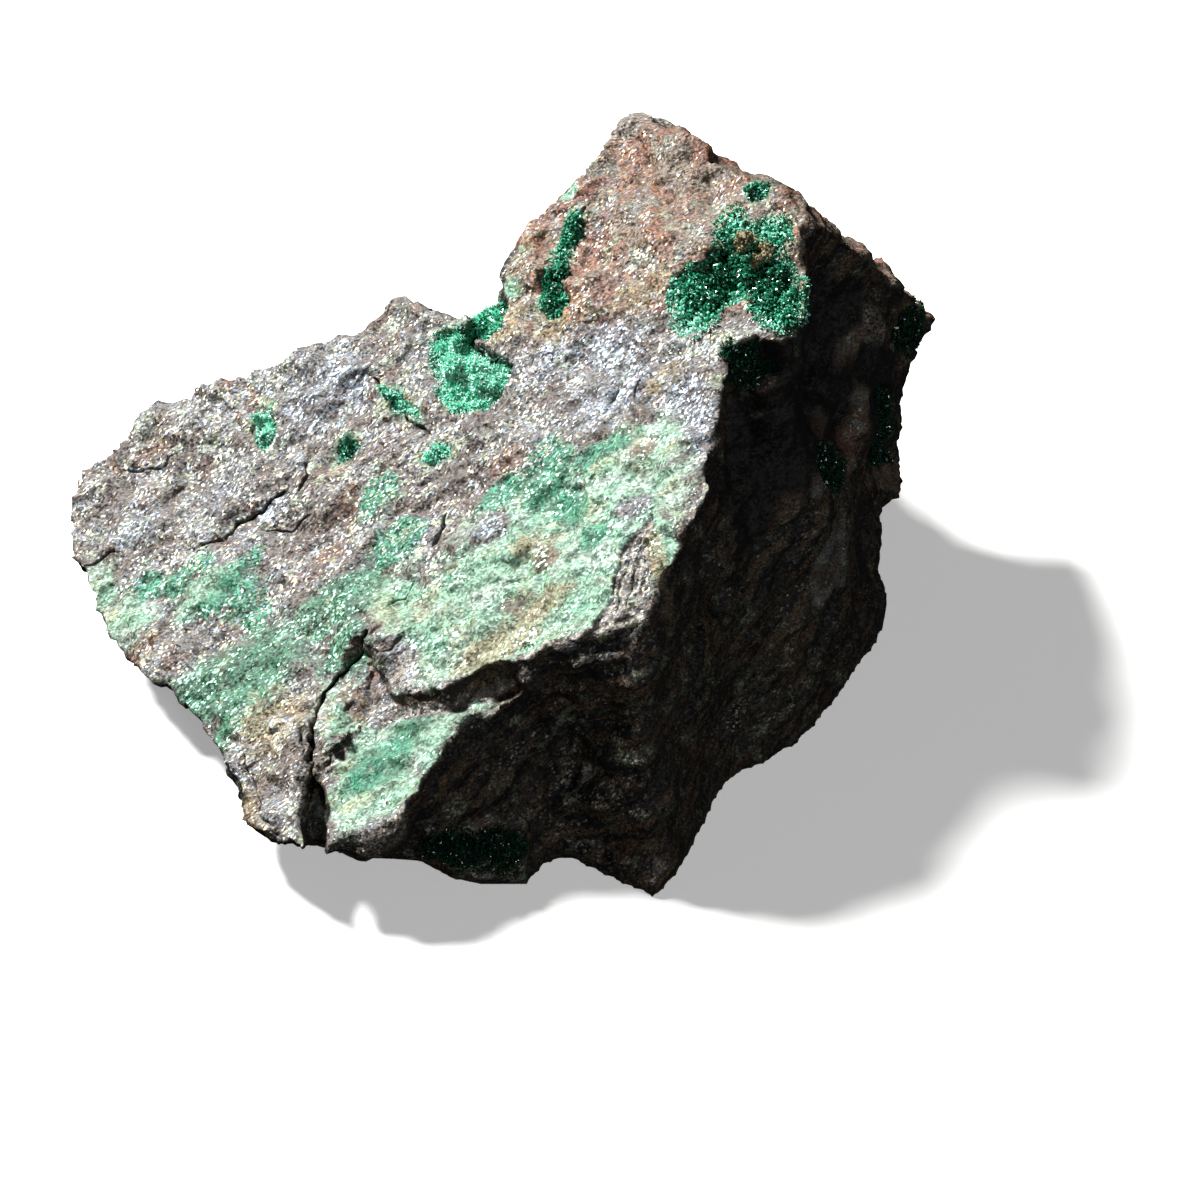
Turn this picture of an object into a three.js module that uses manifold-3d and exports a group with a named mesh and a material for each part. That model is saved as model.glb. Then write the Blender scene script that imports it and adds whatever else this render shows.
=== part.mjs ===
// Brochantite specimen: green copper-sulphate crystals in the hollows of a foliated host rock.
// Millimetres, +Z up. The rock rests on its flat underside. One cleavage plane tilts across the whole
// top, the rock splits parallel to it, and every height on the rock is worked out from that plane.

import * as THREE from 'three';
import { ImprovedNoise } from 'three/addons/math/ImprovedNoise.js';
import { mergeVertices } from 'three/addons/utils/BufferGeometryUtils.js';
import Module from 'manifold-3d';

const wasm = await Module();
wasm.setup();

// ---- Driving dimensions ----

const CLEAVAGE_RISE = { x: 0.5, y: 0.3 };   // slope of the cleavage plane along X and along Y
const CLEAVAGE_HEIGHT = 35;                 // height of that plane above the origin of the plan
const TERRACE_DROP = { least: 0.8, most: 2.8, left: -19, growth: 0.15 };   // its depth under the plane
const PLATE_THICKNESS = 1.6;                // the plate that overhangs the terrace
const UNDERCUT = 1.6;                       // how far the recess reaches in under the plate
const BLOCK_RISE = 0.4;                     // the low block beside the crevice stands on the terrace
const CREVICE_DEPTH = 3;                    // the crevice reaches this far under the terrace
const FRONT_BEVEL = { y: -57, slope: 0.4 }; // the terrace's front edge is broken off at this slope
const FIN_RIDGE = { x: 31.5, y: -5.5, turn: 0.583, fall: 0.95, curve: 0.022, back: 0.25 };
const FIN_STRIP = { crest: 2.2, slope: 0.25 };      // in front of its crest the fin tips forward
const CAP_HEIGHT = 62;                      // blanks are cut from stock that reaches this high
const TOP_CELL = 3.1;                       // facet size on the cleavage face
const WALL_CELL = 3.6;                      // facet length along the walls
const GAP = 0.3;                            // clearance between a crust and its hollow
const CRUST_LEVEL = 0.4;                    // a crust fills its hollow to this share of the depth

// ---- Random numbers and roughness ----

function seededRandom(seed) {
  let state = seed;
  return () => {
    state = (state * 1664525 + 1013904223) % 4294967296;
    return state / 4294967296;
  };
}

const perlin = new ImprovedNoise();

function roughness(point, wavelength, seed) {
  const { x, y, z } = point;
  return perlin.noise(x / wavelength + seed, y / wavelength - seed, z / wavelength + 3.7 * seed);
}

function smoothstep(low, high, value) {
  return THREE.MathUtils.smoothstep(value, low, high);
}

// ---- Solids ----

function solidFrom(geometry) {
  const bare = geometry.clone();
  bare.deleteAttribute('normal');
  bare.deleteAttribute('uv');
  const merged = mergeVertices(bare, 1e-5);
  return new wasm.Manifold(new wasm.Mesh({
    numProp: 3,
    vertProperties: new Float32Array(merged.attributes.position.array),
    triVerts: new Uint32Array(merged.index.array),
  }));
}

function solidFromFaces(vertices, faces) {
  const geometry = new THREE.BufferGeometry();
  const positions = vertices.flatMap((v) => v.toArray());
  geometry.setAttribute('position', new THREE.Float32BufferAttribute(positions, 3));
  geometry.setIndex(faces.flat());
  return solidFrom(geometry);
}

// Rings of equal point counts, lowest first, joined by walls and closed by flat caps.
function solidFromRings(rings) {
  const count = rings[0].length;
  const vertices = rings.flat();
  const faces = [];
  for (let ring = 0; ring + 1 < rings.length; ring += 1) {
    for (let i = 0; i < count; i += 1) {
      const low = ring * count + i;
      const lowNext = ring * count + ((i + 1) % count);
      faces.push([low, lowNext, lowNext + count], [low, lowNext + count, low + count]);
    }
  }
  const last = (rings.length - 1) * count;
  const flat = (ring) => ring.map((v) => new THREE.Vector2(v.x, v.y));
  for (const [a, b, c] of THREE.ShapeUtils.triangulateShape(flat(rings[0]), [])) faces.push([a, c, b]);
  for (const [a, b, c] of THREE.ShapeUtils.triangulateShape(flat(rings[rings.length - 1]), [])) {
    faces.push([last + a, last + b, last + c]);
  }
  return solidFromFaces(vertices, faces);
}

// An upright prism over a plan outline, between two height functions.
function prism(outline, bottom, top) {
  const points = outline.map(([x, y]) => new THREE.Vector2(x, y));
  if (THREE.ShapeUtils.isClockWise(points)) points.reverse();
  const ring = (height) => points.map((p) => new THREE.Vector3(p.x, p.y, height(p.x, p.y)));
  return solidFromRings([ring(bottom), ring(top)]);
}

function largestBody(geometry) {
  const index = geometry.index.array;
  const parent = Array.from({ length: geometry.attributes.position.count }, (_, i) => i);
  const rootOf = (i) => {
    let root = i;
    while (parent[root] !== root) root = parent[root];
    return root;
  };
  for (let i = 0; i < index.length; i += 3) {
    parent[rootOf(index[i + 1])] = rootOf(index[i]);
    parent[rootOf(index[i + 2])] = rootOf(index[i]);
  }
  const bodies = new Map();
  for (let i = 0; i < index.length; i += 3) {
    const root = rootOf(index[i]);
    if (!bodies.has(root)) bodies.set(root, []);
    bodies.get(root).push(index[i], index[i + 1], index[i + 2]);
  }
  const largest = [...bodies.values()].sort((a, b) => b.length - a.length)[0];
  geometry.setIndex(largest);
  return geometry;
}

function geometryFrom(solid) {
  const mesh = solid.getMesh();
  const positions = new Float32Array(mesh.numVert * 3);
  for (let i = 0; i < mesh.numVert; i += 1) {
    positions.set(mesh.vertProperties.subarray(i * mesh.numProp, i * mesh.numProp + 3), i * 3);
  }
  const geometry = new THREE.BufferGeometry();
  geometry.setAttribute('position', new THREE.BufferAttribute(positions, 3));
  geometry.setIndex(Array.from(mesh.triVerts));
  return geometry;
}

// ---- Heights on the rock ----

const cleavage = (x, y) => CLEAVAGE_RISE.x * x + CLEAVAGE_RISE.y * y + CLEAVAGE_HEIGHT;

// The lower terrace sinks away from the plane towards its right end.
function terrace(x, y) {
  const { least, most, left, growth } = TERRACE_DROP;
  return cleavage(x, y) - THREE.MathUtils.clamp(least + growth * (x - left), least, most);
}

// The fin's ridge falls from the right end of the cleavage face. It leans back a little behind its
// crest and tips forward in front of it.
function finRidge(x, y) {
  const { turn } = FIN_RIDGE;
  const along = (x - FIN_RIDGE.x) * Math.cos(turn) + (y - FIN_RIDGE.y) * Math.sin(turn);
  const across = (y - FIN_RIDGE.y) * Math.cos(turn) - (x - FIN_RIDGE.x) * Math.sin(turn);
  const arch = FIN_RIDGE.curve * Math.max(0, along) ** 2;
  const before = Math.max(0, FIN_STRIP.crest - across);
  const lean = FIN_RIDGE.back * across + (FIN_RIDGE.back + FIN_STRIP.slope) * before;
  return cleavage(FIN_RIDGE.x, FIN_RIDGE.y) - FIN_RIDGE.fall * along - arch - lean;
}

// Broken steps between the thin layers of the rock, strongest on the tower behind.
function relief(x, y) {
  const tower = smoothstep(-8, 8, y) * smoothstep(0, 10, x);
  const swell = 0.9 * roughness({ x, y, z: 0 }, 17, 1.3);
  const layers = 1.4 * roughness({ x: x + 0.6 * y, y: y - 0.3 * x, z: 0 }, 9, 5.1) * (1 + tower);
  const stepped = Math.round(layers * 2.5) / 2.5;
  return swell + stepped + 0.35 * roughness({ x, y, z: 0 }, 3.3, 8.2) * (1 + tower);
}

// ---- Host rock ----

// Rows of foot X, foot Y, rim X, rim Y, clockwise from above; each side has its own rim height.
const SIDES = [
  { rim: cleavage, rows: [
    [-33, -20, -44, -18], [-34, -17, -46, -15.5], [-35, -13, -46, -10], [-33, -8, -45, -5.5],
    [-31, -5, -42, -4.6], [-28, -2, -37.5, -1], [-24, -1, -30.5, -0.4], [-21, 0, -27, -1.5],
    [-17, 3, -22, -0.2], [-13, 6, -16.5, -0.3], [-9, 9, -10.5, 1], [-6, 11, -7, -1], [-3, 13, -4.5, -3.8],
    [0, 16, 0, -3.5], [3, 19, 1, -1.5], [5, 21, 3.5, 3.4], [8, 23, 7, 6.8], [12, 24, 10.8, 8],
    [14, 24.5, 12, 12], [17, 24, 14, 13.6], [21, 23, 17.5, 12.4], [25, 22, 21, 8.4], [30, 20, 24.5, 4.6],
    [33, 17, 28.5, 1],
  ] },
  { rim: finRidge, rows: [
    [36, 13, 32.5, -2.5], [39, 8, 37.5, 1.5], [40, 3, 41.5, 4.6], [40.2, -3, 45.9, 6.8], [40, -8, 47.1, 4.6],
    [40.4, -12, 44, 2], [41.2, -15.5, 41, -0.4], [41, -18.5, 38, -2], [40, -21, 35, -4],
  ] },
  { rim: cleavage, rows: [
    [39.5, -22.5, 32.3, -6.5], [38, -25, 32.8, -12], [36.5, -28, 31.8, -17.5], [34.5, -31, 29, -20],
    [33, -34, 26.3, -18.5], [31.5, -36, 24.8, -19], [29.5, -37.5, 24, -22.5], [27.5, -39, 23.5, -26],
    [25, -40.5, 22.5, -30.5], [23.5, -43, 21, -35], [22, -47, 19, -38.5], [20, -52, 17.5, -42.5],
    [18.5, -55.5, 16, -45], [16.3, -58.5, 13.5, -45.8], [11.5, -55.5, 10.5, -45.8],
    [7, -52.5, 6.8, -45.6], [5, -53.5, 3.4, -45.9],
  ] },
  { rim: terrace, rows: [
    [3, -56.5, 0.4, -48.2], [-2, -55.8, -4, -49.2],
    [-5, -54.8, -7, -54.4], [-8, -52.5, -9.8, -58.2], [-13, -52, -13.5, -59.4], [-17, -51, -17.8, -58.2],
  ] },
  { rim: cleavage, rows: [
    [-20, -50, -20, -58], [-22, -48, -24.3, -56], [-24, -44, -26.3, -51.4], [-26, -40, -28, -46.3],
    [-29, -35, -32.3, -39], [-31, -30, -36.2, -34], [-32, -26, -40.5, -28.5], [-32.5, -23, -42.5, -24],
  ] },
];

const WALL_LEVELS = [0, 0.08, 0.19, 0.31, 0.43, 0.55, 0.67, 0.79, 0.9, 1];
const WALL_STEPS = [0, 0.7, -0.4, 0.6, -0.5, 0.7, -0.4, 0.5, -0.4, 0];

// Hollows and swellings of the walls: where, how wide, and how far in (negative) or out.
const WALL_FORMS = [
  { at: [34.5, -9, 36], reach: 5, depth: -4.5 },
  { at: [31, -15, 34], reach: 5.5, depth: -6.5 },
  { at: [27, -22.5, 32.5], reach: 5, depth: -4.5 },
  { at: [24, -33, 26], reach: 4.5, depth: -4 },
  { at: [38, -15, 24], reach: 6, depth: 1.5 },
  { at: [41.5, -10, 14], reach: 5.5, depth: -3.2 },
  { at: [45, 1, 18.5], reach: 4, depth: -1.7 },
  { at: [34, -27, 12], reach: 8, depth: 2.4 },
  { at: [24, -45, 9], reach: 5, depth: -1.5 },
  { at: [6, -48, 16], reach: 5, depth: -1.8 },
  { at: [-3, -53, 3], reach: 5, depth: 1 },
  { at: [-15, 6, 14], reach: 10, depth: -4 },
  { at: [20, 20, 22], reach: 12, depth: 4 },
  { at: [40, 8, 10], reach: 8, depth: -3 },
];

function stations() {
  const rows = SIDES.flatMap(({ rim, rows: side }) => side.map(([fx, fy, rx, ry]) => ({
    foot: new THREE.Vector3(fx, fy, 0),
    rim: new THREE.Vector3(rx, ry, rim(rx, ry)),
  })));
  const dense = [];
  rows.forEach((row, i) => {
    const next = rows[(i + 1) % rows.length];
    const pieces = Math.max(1, Math.round(row.rim.distanceTo(next.rim) / WALL_CELL));
    for (let k = 0; k < pieces; k += 1) {
      dense.push({
        foot: row.foot.clone().lerp(next.foot, k / pieces),
        rim: row.rim.clone().lerp(next.rim, k / pieces),
      });
    }
  });
  return dense.reverse();
}

function wallPoint(row, outward, level, step) {
  const point = row.foot.clone().lerp(row.rim, level);
  const inner = Math.sin(Math.PI * level);
  const layered = step * (0.7 + 1.2 * roughness(point, 14, 2.2));
  let push = layered * Math.min(1, 3 * inner) + 1.7 * roughness(point, 7, 4.4) * (0.35 + inner);
  for (const form of WALL_FORMS) {
    const distance = point.distanceTo(new THREE.Vector3(...form.at)) / form.reach;
    push += form.depth * Math.exp(-distance * distance);
  }
  return point.addScaledVector(outward, push);
}

function wallBlank() {
  const rows = stations();
  const outward = rows.map((row, i) => {
    const before = rows[(i + rows.length - 2) % rows.length];
    const after = rows[(i + 2) % rows.length];
    const along = after.rim.clone().sub(before.rim).add(after.foot).sub(before.foot).setZ(0).normalize();
    return new THREE.Vector3(along.y, -along.x, 0);
  });
  const rings = WALL_LEVELS.map((level, ring) => (
    rows.map((row, i) => wallPoint(row, outward[i], level, WALL_STEPS[ring]))
  ));
  rings.push(rings[rings.length - 1].map((point) => new THREE.Vector3(point.x, point.y, CAP_HEIGHT)));
  return solidFromRings(rings);
}

function topBlank() {
  const reach = { left: -52, right: 53, front: -68, back: 32 };
  const columns = Math.round((reach.right - reach.left) / TOP_CELL);
  const rows = Math.round((reach.back - reach.front) / TOP_CELL);
  const vertices = [];
  for (const floor of [false, true]) {
    for (let row = 0; row <= rows; row += 1) {
      for (let column = 0; column <= columns; column += 1) {
        const x = reach.left + ((reach.right - reach.left) * column) / columns;
        const y = reach.front + ((reach.back - reach.front) * row) / rows;
        const height = Math.min(cleavage(x, y) + relief(x, y), finRidge(x, y) + 0.5 * relief(x, y));
        vertices.push(new THREE.Vector3(x, y, floor ? -60 : height));
      }
    }
  }
  const under = vertices.length / 2;
  const at = (column, row) => row * (columns + 1) + column;
  const faces = [];
  for (let row = 0; row < rows; row += 1) {
    for (let column = 0; column < columns; column += 1) {
      const [a, b] = [at(column, row), at(column + 1, row)];
      const [d, c] = [at(column, row + 1), at(column + 1, row + 1)];
      const faceUp = (row + column) % 2 ? [[a, b, c], [a, c, d]] : [[a, b, d], [b, c, d]];
      faces.push(...faceUp, ...faceUp.map(([p, q, r]) => [under + p, under + r, under + q]));
    }
  }
  const edge = [];
  for (let column = 0; column < columns; column += 1) edge.push(at(column, 0));
  for (let row = 0; row < rows; row += 1) edge.push(at(columns, row));
  for (let column = columns; column > 0; column -= 1) edge.push(at(column, rows));
  for (let row = rows; row > 0; row -= 1) edge.push(at(0, row));
  edge.forEach((p, i) => {
    const q = edge[(i + 1) % edge.length];
    faces.push([under + p, under + q, q], [under + p, q, p]);
  });
  return solidFromFaces(vertices, faces);
}

const above = () => CAP_HEIGHT + 5;
const below = (height, drop) => (x, y) => height(x, y) - drop;

// The lower terrace and the recess under the plate, the low block and the crevice at the terrace's left,
// and the broken front edge.
function breaks() {
  const terraceOutline = [
    [-13.2, -37.4], [-11.6, -41.2], [-10, -44.8], [-5.7, -46], [-1.6, -45.4], [1, -45.4], [4.6, -46.8],
    [6, -75], [-19.4, -75], [-19, -57], [-18.3, -53], [-18.8, -49.4], [-17.3, -48.6], [-14.4, -46.6],
    [-14, -42.5],
  ];
  const recessOutline = [
    [-7, -46.6], [-5, -45.6 + 0.5 * UNDERCUT], [-1, -45.4 + UNDERCUT], [1.4, -45.4], [4, -47], [4, -50],
  ];
  const blockOutline = [
    [-13.3, -37.2], [-18, -41], [-19.3, -46], [-19, -50], [-17, -48.2], [-14.2, -46.3], [-13.7, -42.5],
  ];
  const creviceOutline = [
    [-13.4, -36.9], [-18, -40.6], [-20, -45.6], [-20.2, -50], [-19.7, -54], [-19.8, -62], [-17.9, -62],
    [-17.4, -54.5], [-17.9, -51.5], [-18.9, -49.5], [-18.9, -46.2], [-17.3, -41.5], [-13, -38],
  ];
  const bevelOutline = [[-25, -75], [-5, -75], [-5, FRONT_BEVEL.y], [-19.3, FRONT_BEVEL.y]];
  const bevel = (x, y) => terrace(x, y) + FRONT_BEVEL.slope * (y - FRONT_BEVEL.y);
  return [
    prism(terraceOutline, terrace, above),
    prism(recessOutline, below(terrace, 0.3), below(cleavage, PLATE_THICKNESS)),
    prism(blockOutline, below(terrace, -BLOCK_RISE), above),
    prism(creviceOutline, below(terrace, CREVICE_DEPTH), above),
    prism(bevelOutline, bevel, above),
  ];
}

// ---- Crystal hollows ----

// Each blob of a hollow: its place in the hollow's own plane, its two radii, its turn and its depth.
const HOLLOWS = [
  { name: 'vug_crust', at: [25, -11], seed: 11, crystals: 20, blobs: [
    { at: [-1.2, 0.8], radii: [3.4, 3.4], depth: 3.2 }, { at: [-5, -0.8], radii: [3, 4], depth: 2.8 },
    { at: [1.1, 5.2], radii: [1.7, 2.6], depth: 2.2 }, { at: [4.4, 3.4], radii: [1.8, 2.5], depth: 2.2 },
    { at: [2.4, 1.6], radii: [2.6, 2.8], depth: 2.6 }, { at: [3.9, -2.8], radii: [2.8, 4.8], depth: 3 },
  ] },
  { name: 'cleft_crust', at: [6, -4], seed: 12, crystals: 6, blobs: [
    { at: [-0.2, -1.8], radii: [1.9, 2.8], depth: 3 },
    { at: [1, 1.6], radii: [1.15, 3], turn: -0.3, depth: 2.4 },
    { at: [2.6, 4.6], radii: [0.9, 2.8], turn: -0.5, depth: 1.8 },
  ] },
  { name: 'saddle_crust', at: [-3, -10], seed: 13, crystals: 12, blobs: [
    { at: [0.4, -2], radii: [4.4, 3.8], depth: 3 }, { at: [-1.8, 2.8], radii: [2.6, 3.6], depth: 3 },
    { at: [2.4, 5], radii: [3.2, 2.2], depth: 3.6 },
  ] },
  { name: 'streak_crust', at: [-10.3, -11.2], seed: 14, crystals: 4, blobs: [
    { at: [0, 0], radii: [0.95, 4.2], turn: 0.62, depth: 1.6 },
  ] },
  { name: 'pocket_crust_1', at: [-25.3, -8.4], seed: 15, crystals: 3, blobs: [
    { at: [0, 0], radii: [1.1, 2.8], turn: -0.2, depth: 1.4 },
  ] },
  { name: 'pocket_crust_2', at: [-16.6, -14.2], seed: 16, crystals: 3, blobs: [
    { at: [0, 0], radii: [1.4, 1.2], turn: -0.2, depth: 1.5 },
  ] },
  { name: 'pocket_crust_3', at: [-6.5, -18.2], seed: 17, crystals: 3, blobs: [
    { at: [0, 0], radii: [2, 1.3], turn: 0.2, depth: 1.5 },
  ] },
  { name: 'pocket_crust_4', at: [27.6, -2.2], seed: 21, crystals: 2, blobs: [
    { at: [0, 0], radii: [1.2, 1], turn: 0.4, depth: 1.5 },
  ] },
  { name: 'edge_crust', at: [27.5, -20, 38.5], facing: [0.83, -0.48, 0.3], seed: 22, crystals: 5, blobs: [
    { at: [0, 1], radii: [2.2, 3], depth: 1.6 }, { at: [-1, -3], radii: [1.8, 2.6], depth: 1.6 },
  ] },
  { name: 'fin_crust', at: [43.6, 0.4, 26], facing: [0.8, -0.5, 0.33], seed: 18, crystals: 6, blobs: [
    { at: [0, 0], radii: [2.8, 3], depth: 1.6 },
  ] },
  { name: 'flank_crust', at: [41.5, -6.4, 19.5], facing: [0.83, -0.48, 0.3], seed: 23, crystals: 6, blobs: [
    { at: [0, 0], radii: [2.2, 3.4], depth: 1.6 }, { at: [-2.4, -3], radii: [1.8, 2], depth: 1.4 },
  ] },
  { name: 'wall_crust', at: [33.4, -18.4, 23.5], facing: [0.83, -0.48, 0.3], seed: 19, crystals: 5, blobs: [
    { at: [0, 0], radii: [2.2, 3.4], depth: 2.2 },
  ] },
  { name: 'foot_crust', at: [-2.5, -53, 3.6], facing: [0, -0.94, 0.34], seed: 20, crystals: 6, blobs: [
    { at: [-1.8, 0], radii: [3.4, 2.4], depth: 1.6 }, { at: [3.2, 0], radii: [3, 2], depth: 1.5 },
  ] },
];

const BLOB_SIDES = 8;

// A hollow's blank: a ragged bowl. Its rings give the share of the radius and the height of each.
function bowl(blob, inset, seed, rings) {
  const turn = blob.turn ?? 0;
  return solidFromRings(rings.map(([share, height]) => Array.from({ length: BLOB_SIDES }, (_, i) => {
    const angle = (2 * Math.PI * i) / BLOB_SIDES;
    const ragged = 1 + 0.34 * perlin.noise(2 * Math.cos(angle) + seed, 2 * Math.sin(angle), blob.at[0]);
    const u = (blob.radii[0] * ragged * share - inset) * Math.cos(angle);
    const v = (blob.radii[1] * ragged * share - inset) * Math.sin(angle);
    const x = blob.at[0] + u * Math.cos(turn) - v * Math.sin(turn);
    const y = blob.at[1] + u * Math.sin(turn) + v * Math.cos(turn);
    return new THREE.Vector3(x, y, height);
  })));
}

const mouthRings = (depth, mouth) => [[0.6, -depth], [0.9, -0.6 * depth], [1, 0], [1.02, mouth]];
const fillRings = (depth) => [[0.6, -depth], [0.9, -0.6 * depth], [0.95, -CRUST_LEVEL * depth]];

function joined(solids) {
  return solids.reduce((whole, solid) => whole.add(solid));
}

function hollowBlank({ blobs, seed }) {
  return joined(blobs.map((blob) => bowl(blob, 0, seed, mouthRings(blob.depth, 8))));
}

// A flattened double-ended crystal with eight flat faces, standing on the crust.
function crystal(size, place, direction, spin) {
  const geometry = new THREE.OctahedronGeometry(1);
  geometry.scale(size * 0.62, size * 1.25, size * 0.42);
  geometry.rotateY(spin);
  const turn = new THREE.Quaternion().setFromUnitVectors(new THREE.Vector3(0, 1, 0), direction);
  geometry.applyQuaternion(turn);
  geometry.translate(place.x, place.y, place.z);
  return solidFrom(geometry);
}

function crustBlank({ blobs, seed, crystals: total }) {
  const random = seededRandom(seed);
  const area = blobs.reduce((sum, blob) => sum + blob.radii[0] * blob.radii[1], 0);
  const crystals = blobs.flatMap((blob) => {
    const share = Math.round((total * blob.radii[0] * blob.radii[1]) / area);
    return Array.from({ length: share }, () => {
      const angle = 2 * Math.PI * random();
      const reach = 0.85 * Math.sqrt(random());
      const turn = blob.turn ?? 0;
      const u = reach * (blob.radii[0] - GAP) * Math.cos(angle);
      const v = reach * (blob.radii[1] - GAP) * Math.sin(angle);
      const place = new THREE.Vector3(
        blob.at[0] + u * Math.cos(turn) - v * Math.sin(turn),
        blob.at[1] + u * Math.sin(turn) + v * Math.cos(turn),
        -CRUST_LEVEL * blob.depth - 0.1,
      );
      const lean = new THREE.Vector3(random() - 0.5, random() - 0.5, 0.6).normalize();
      return crystal(1.3 + 0.8 * random(), place, lean, random() * Math.PI);
    });
  });
  const fill = joined(blobs.map((blob) => bowl(blob, GAP, seed, fillRings(blob.depth - GAP))));
  const room = joined(blobs.map((blob) => bowl(blob, GAP, seed, mouthRings(blob.depth - GAP, 1.2))));
  return joined([fill, ...crystals]).intersect(room);
}

// The frame of a hollow: on the rock, its Z out of the surface and its X level.
function hollowFrame(hollow, rockMesh) {
  const facing = hollow.facing
    ? new THREE.Vector3(...hollow.facing).normalize()
    : new THREE.Vector3(-CLEAVAGE_RISE.x, -CLEAVAGE_RISE.y, 1).normalize();
  const [x, y, z] = hollow.at;
  const aim = new THREE.Vector3(x, y, z ?? cleavage(x, y));
  const ray = new THREE.Raycaster(aim.clone().addScaledVector(facing, 30), facing.clone().negate());
  const [hit] = ray.intersectObject(rockMesh);
  const level = new THREE.Vector3(-facing.y, facing.x, 0).normalize();
  if (!hollow.facing) level.set(1, 0, CLEAVAGE_RISE.x).normalize();
  const rise = facing.clone().cross(level);
  return new THREE.Matrix4().makeBasis(level, rise, facing).setPosition(hit.point);
}

// ---- Finish: a last small warp that leaves the underside flat ----

function warp(geometry) {
  const position = geometry.attributes.position;
  const point = new THREE.Vector3();
  for (let i = 0; i < position.count; i += 1) {
    point.fromBufferAttribute(position, i);
    const free = smoothstep(0.5, 4, point.z);
    const shift = new THREE.Vector3(
      roughness(point, 6, 11.5), roughness(point, 6, 23.5), roughness(point, 6, 37.5),
    );
    point.addScaledVector(shift, 0.9 * free);
    position.setXYZ(i, point.x, point.y, point.z);
  }
  return geometry;
}

// ---- Assembly ----

const rockMaterial = new THREE.MeshStandardMaterial({ color: 0x7b746c, roughness: 0.7, metalness: 0.15 });
const crystalColor = 0x0f7a4f;

function namedMesh(name, geometry, material) {
  const mesh = new THREE.Mesh(geometry, material);
  mesh.name = name;
  return mesh;
}

const blank = wallBlank().intersect(topBlank());
const broken = breaks().reduce((rock, cut) => rock.subtract(cut), blank);
const bothSides = new THREE.MeshStandardMaterial({ side: THREE.DoubleSide });
const brokenMesh = new THREE.Mesh(geometryFrom(broken), bothSides);

let rock = broken;
const crusts = HOLLOWS.map((hollow) => {
  const frame = hollowFrame(hollow, brokenMesh);
  const place = (solid) => solidFrom(geometryFrom(solid).applyMatrix4(frame));
  rock = rock.subtract(place(hollowBlank(hollow)));
  return { name: hollow.name, solid: place(crustBlank(hollow)) };
});

const specimen = new THREE.Group();
specimen.add(namedMesh('host_rock', warp(largestBody(geometryFrom(rock))), rockMaterial));
for (const { name, solid } of crusts) {
  const material = new THREE.MeshStandardMaterial({ color: crystalColor, roughness: 0.3, metalness: 0 });
  specimen.add(namedMesh(name, warp(largestBody(geometryFrom(solid))), material));
}

const box = new THREE.Box3().setFromObject(specimen);
specimen.position.set(-(box.min.x + box.max.x) / 2, -(box.min.y + box.max.y) / 2, -box.min.z);

export default specimen;
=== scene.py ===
import math

import bmesh
import bpy
import numpy as np
from mathutils import Matrix, Vector, noise
from mathutils.bvhtree import BVHTree


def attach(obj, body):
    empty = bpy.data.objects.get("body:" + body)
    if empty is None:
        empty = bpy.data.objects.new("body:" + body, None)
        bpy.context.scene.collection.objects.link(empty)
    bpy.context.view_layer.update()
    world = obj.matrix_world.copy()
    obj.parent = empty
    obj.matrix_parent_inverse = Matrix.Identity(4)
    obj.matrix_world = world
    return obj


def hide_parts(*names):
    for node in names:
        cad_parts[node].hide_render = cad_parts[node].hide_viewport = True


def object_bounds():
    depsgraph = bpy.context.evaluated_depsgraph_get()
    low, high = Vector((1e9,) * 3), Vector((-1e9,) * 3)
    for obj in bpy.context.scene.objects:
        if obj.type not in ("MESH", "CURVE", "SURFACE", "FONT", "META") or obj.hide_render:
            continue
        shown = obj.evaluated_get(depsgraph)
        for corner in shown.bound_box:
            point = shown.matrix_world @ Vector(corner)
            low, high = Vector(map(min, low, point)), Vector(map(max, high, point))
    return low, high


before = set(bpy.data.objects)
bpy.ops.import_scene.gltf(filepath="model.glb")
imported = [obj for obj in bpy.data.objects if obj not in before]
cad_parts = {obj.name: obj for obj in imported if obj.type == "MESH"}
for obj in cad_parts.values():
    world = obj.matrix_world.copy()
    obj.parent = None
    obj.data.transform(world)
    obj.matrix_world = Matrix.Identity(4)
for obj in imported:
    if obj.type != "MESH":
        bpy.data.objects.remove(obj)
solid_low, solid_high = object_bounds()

# ---- Host rock ----
# A hand-sized piece of mica schist with copper staining: one big parting face, a lower terrace, and
# broken layered walls. It was split off with a hammer, so the parting faces are flaky and flat and the
# walls show the edges of the layers. The surface here is the solid's, cut into small cells and roughened.

MM = 0.001
PARTING = Vector((-0.5, -0.3, 1.0)).normalized()      # the layers lie square to this
GRAIN = Vector((0.95, 0.3, 0.565)).normalized()       # the mica's streaks run along this
ACROSS = PARTING.cross(GRAIN).normalized()
TO_GRAIN = Matrix((GRAIN, ACROSS, PARTING))           # turns a place into along, across and up the layers
WALL_CELL = 0.62                                      # mm, size of a surface cell on the walls
FLAT_FOOT = 0.5                                       # mm, height under which the resting face stays flat
FRINGE = 1.5                                          # mm, reach of the stain around a hollow
UNDER_CRUST = 0.4                                     # mm, how much deeper the rock lies under a crust

middle = (solid_low + solid_high) / 2
plan = (middle / MM).to_2d() + Vector((0.0, 17.07))  # origin of the places on the parting face, in mm


def apply_modifiers(piece):
    """Gives the piece the mesh that its modifiers make, and takes them off."""
    evened = piece.evaluated_get(bpy.context.evaluated_depsgraph_get())
    made = bpy.data.meshes.new_from_object(evened)
    piece.modifiers.clear()
    piece.data = made


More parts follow.
